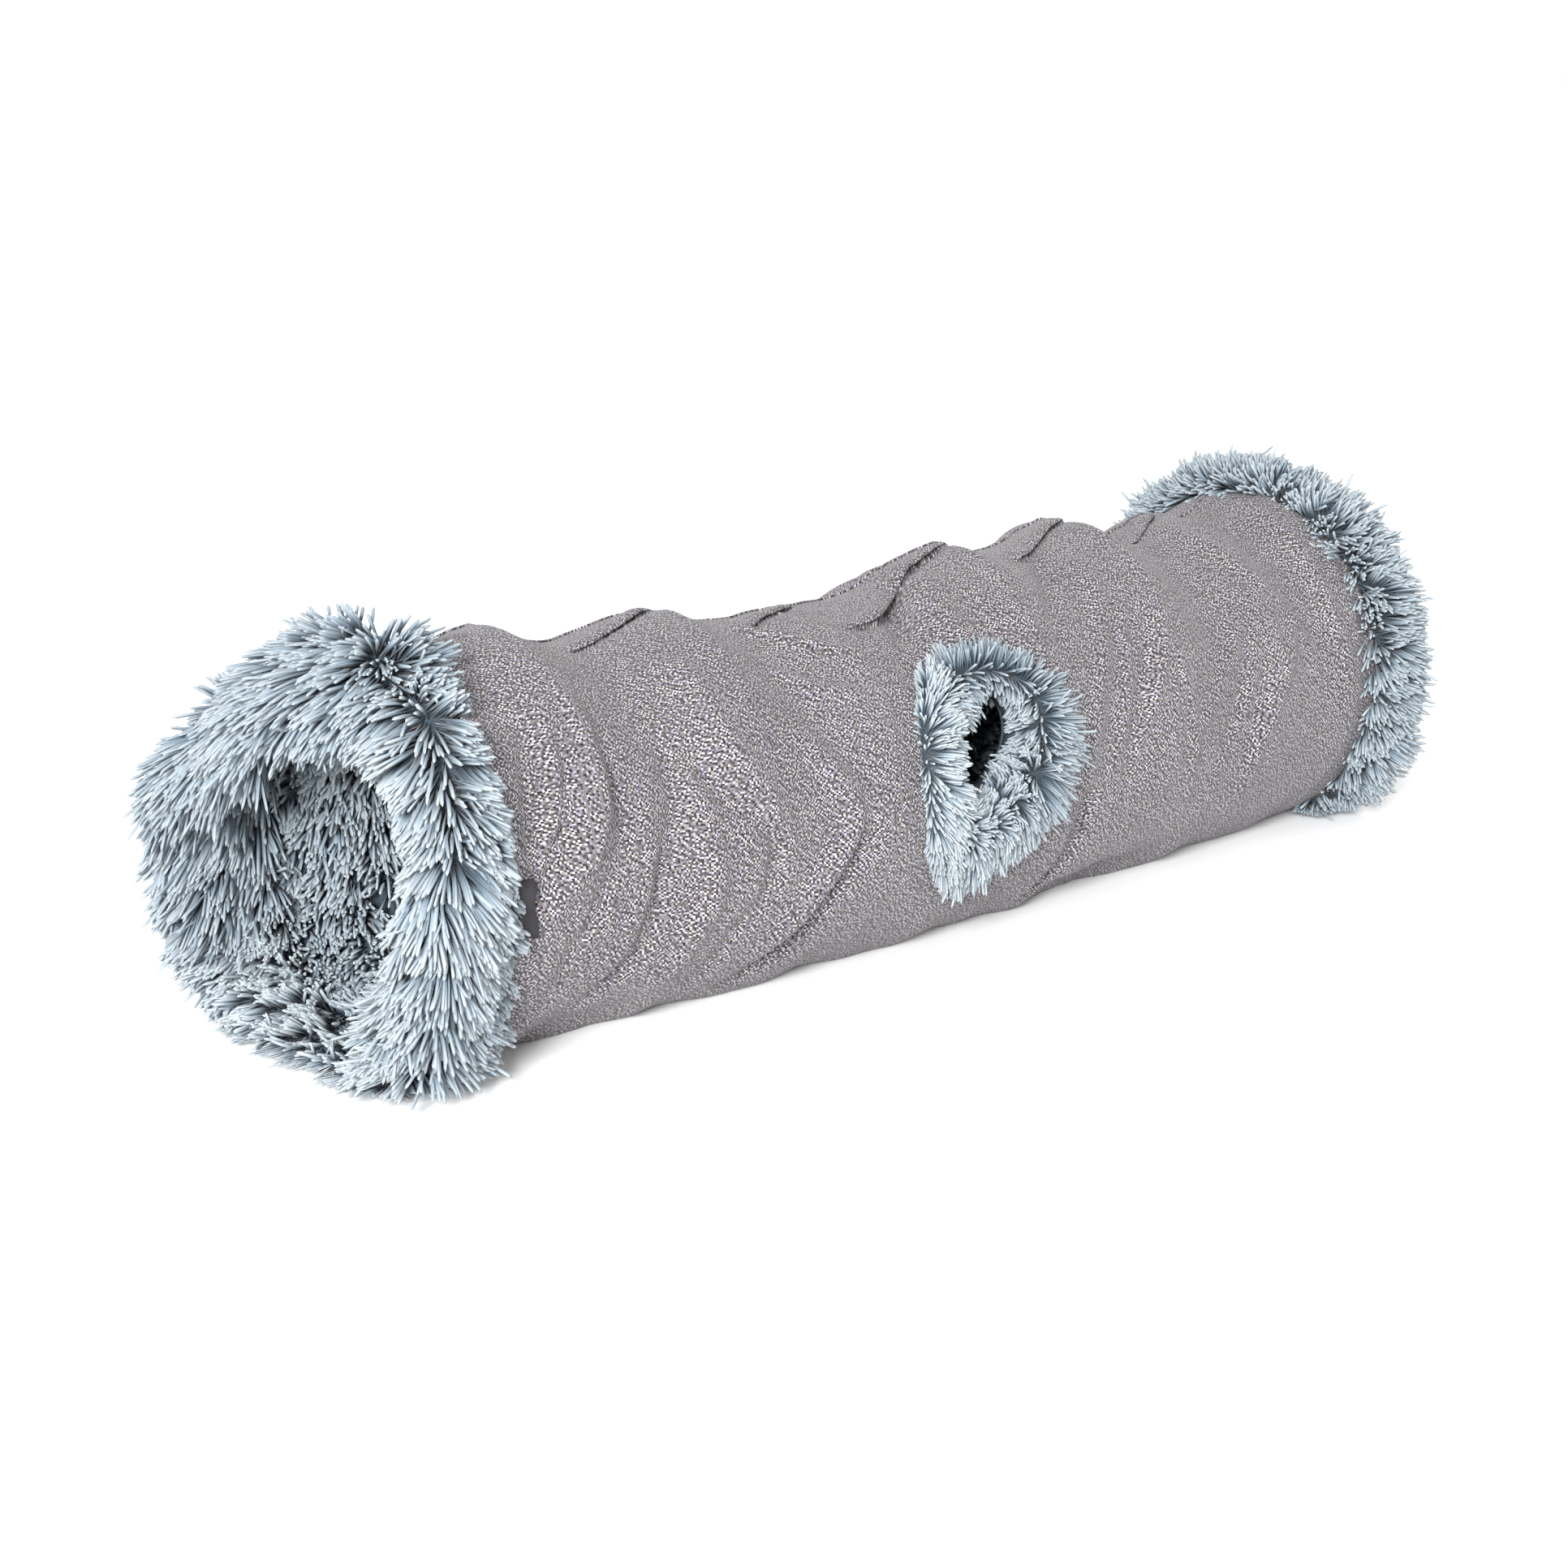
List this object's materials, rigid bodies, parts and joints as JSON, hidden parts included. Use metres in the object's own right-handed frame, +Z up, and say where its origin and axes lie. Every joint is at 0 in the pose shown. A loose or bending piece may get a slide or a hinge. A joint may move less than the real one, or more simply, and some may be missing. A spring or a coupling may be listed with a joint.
{
  "type": "cat tunnel",
  "caption": "Collapsible fabric cat tunnel on a sprung coil, with a plush lining, a deep drooping plush cuff, a short flared cuff and a plush-trimmed side peephole.",
  "frame": {"origin": "on the floor, below the middle of the tunnel's bounding box", "axes": "+X along the tunnel from the deep plush cuff to the short one, -Y out of the peephole's side, +Z up"},
  "size_m": [1.115, 0.373, 0.3204],
  "materials": {
    "woven_cover": "heathered grey woven polyester",
    "plush_pile": "long blue-grey plush pile",
    "plush_lining": "blue-grey plush lining",
    "spring_steel": "drawn spring steel wire",
    "crimp_brass": "crimped sleeve",
    "elastic_cord": "black braided elastic",
    "toggle_plastic": "black moulded plastic",
    "label_tape": "plain dark woven tape"
  },
  "bodies": {
    "near_end": {"near_cuff": "plush_pile", "near_hoop": "spring_steel", "near_ferrule": "crimp_brass", "side_label": "label_tape", "cover_bay_1": "woven_cover", "lining_bay_1": "plush_lining", "coil_turn_1": "spring_steel"},
    "turn_1": {"cover_bay_2": "woven_cover", "lining_bay_2": "plush_lining", "coil_turn_2": "spring_steel"},
    "turn_2": {"cover_bay_3": "woven_cover", "lining_bay_3": "plush_lining", "coil_turn_3": "spring_steel"},
    "turn_3": {"cover_bay_4": "woven_cover", "lining_bay_4": "plush_lining", "coil_turn_4": "spring_steel", "peephole_binding": "plush_lining", "peephole_trim": "plush_pile"},
    "turn_4": {"cover_bay_5": "woven_cover", "lining_bay_5": "plush_lining", "coil_turn_5": "spring_steel"},
    "turn_5": {"cover_bay_6": "woven_cover", "lining_bay_6": "plush_lining", "coil_turn_6": "spring_steel"},
    "turn_6": {"cover_bay_7": "woven_cover", "lining_bay_7": "plush_lining", "coil_turn_7": "spring_steel"},
    "far_end": {"far_cuff": "plush_pile", "far_hoop": "spring_steel", "far_ferrule": "crimp_brass"},
    "loop_1_root": {"elastic_loop_1": "elastic_cord"},
    "toggle_1_root": {"toggle_cord_1": "elastic_cord", "toggle_1": "toggle_plastic"},
    "loop_2_root": {"elastic_loop_2": "elastic_cord"},
    "toggle_2_root": {"toggle_cord_2": "elastic_cord", "toggle_2": "toggle_plastic"},
    "loop_3_root": {"elastic_loop_3": "elastic_cord"},
    "toggle_3_root": {"toggle_cord_3": "elastic_cord", "toggle_3": "toggle_plastic"}
  },
  "joints": [
    {"name": "collapse", "type": "slide", "parent": "near_end", "child": "turn_1", "axis": [1, 0, 0], "range_m": [-0.09039, 0], "stiffness_N_per_m": 100, "springref_m": 0.02, "deforming": ["cover_bay_1", "lining_bay_1", "coil_turn_1"]},
    {"name": "collapse_turn_2", "type": "slide", "parent": "turn_1", "child": "turn_2", "axis": [1, 0, 0], "range_m": [-0.13771, 0], "stiffness_N_per_m": 100, "springref_m": 0.02, "deforming": ["cover_bay_2", "lining_bay_2", "coil_turn_2"]},
    {"name": "collapse_turn_3", "type": "slide", "parent": "turn_2", "child": "turn_3", "axis": [1, 0, 0], "range_m": [-0.10814, 0], "stiffness_N_per_m": 100, "springref_m": 0.02, "deforming": ["cover_bay_3", "lining_bay_3", "coil_turn_3"]},
    {"name": "collapse_turn_4", "type": "slide", "parent": "turn_3", "child": "turn_4", "axis": [1, 0, 0], "range_m": [-0.15544, 0], "stiffness_N_per_m": 100, "springref_m": 0.02, "deforming": ["cover_bay_4", "lining_bay_4", "coil_turn_4", "peephole_binding", "peephole_trim"]},
    {"name": "collapse_turn_5", "type": "slide", "parent": "turn_4", "child": "turn_5", "axis": [1, 0, 0], "range_m": [-0.13179, 0], "stiffness_N_per_m": 100, "springref_m": 0.02, "deforming": ["cover_bay_5", "lining_bay_5", "coil_turn_5"]},
    {"name": "collapse_turn_6", "type": "slide", "parent": "turn_5", "child": "turn_6", "axis": [1, 0, 0], "range_m": [-0.12588, 0], "stiffness_N_per_m": 100, "springref_m": 0.02, "deforming": ["cover_bay_6", "lining_bay_6", "coil_turn_6"]},
    {"name": "collapse_far_end", "type": "slide", "parent": "turn_6", "child": "far_end", "axis": [1, 0, 0], "range_m": [-0.09547, 0], "stiffness_N_per_m": 100, "springref_m": 0.02, "deforming": ["cover_bay_7", "lining_bay_7", "coil_turn_7"]},
    {"name": "loop_1_flex", "type": "hinge", "parent": "far_end", "child": "loop_1_root", "pos_m": [0.504, -0.03556, 0.28285], "axis": [0, 0.9659, 0.2588], "range_deg": [-75, 5], "stiffness_Nm_per_rad": 0.003},
    {"name": "toggle_1_flex", "type": "hinge", "parent": "near_end", "child": "toggle_1_root", "pos_m": [-0.4473, -0.0376, 0.29003], "axis": [0, 0.9659, 0.2588], "range_deg": [-70, 0], "stiffness_Nm_per_rad": 0.003},
    {"name": "loop_2_flex", "type": "hinge", "parent": "far_end", "child": "loop_2_root", "pos_m": [0.504, 0.14818, 0.09987], "axis": [0, -0.2588, -0.9659], "range_deg": [-75, 5], "stiffness_Nm_per_rad": 0.003},
    {"name": "toggle_2_flex", "type": "hinge", "parent": "near_end", "child": "toggle_2_root", "pos_m": [-0.4473, 0.15607, 0.09772], "axis": [0, -0.2588, -0.9659], "range_deg": [-70, 0], "stiffness_Nm_per_rad": 0.003},
    {"name": "loop_3_flex", "type": "hinge", "parent": "far_end", "child": "loop_3_root", "pos_m": [0.504, -0.1038, 0.0319], "axis": [0, -0.7071, 0.7071], "range_deg": [-75, 5], "stiffness_Nm_per_rad": 0.003},
    {"name": "toggle_3_flex", "type": "hinge", "parent": "near_end", "child": "toggle_3_root", "pos_m": [-0.4473, -0.10992, 0.02591], "axis": [0, -0.7071, 0.7071], "range_deg": [-70, 0], "stiffness_Nm_per_rad": 0.003}
  ],
  "couplings": [
    {"joint": "collapse_turn_2", "follows": "collapse", "ratio": 1.5234},
    {"joint": "collapse_turn_3", "follows": "collapse", "ratio": 1.1963},
    {"joint": "collapse_turn_4", "follows": "collapse", "ratio": 1.7196},
    {"joint": "collapse_turn_5", "follows": "collapse", "ratio": 1.4579},
    {"joint": "collapse_turn_6", "follows": "collapse", "ratio": 1.3925},
    {"joint": "collapse_far_end", "follows": "collapse", "ratio": 1.0561}
  ]
}
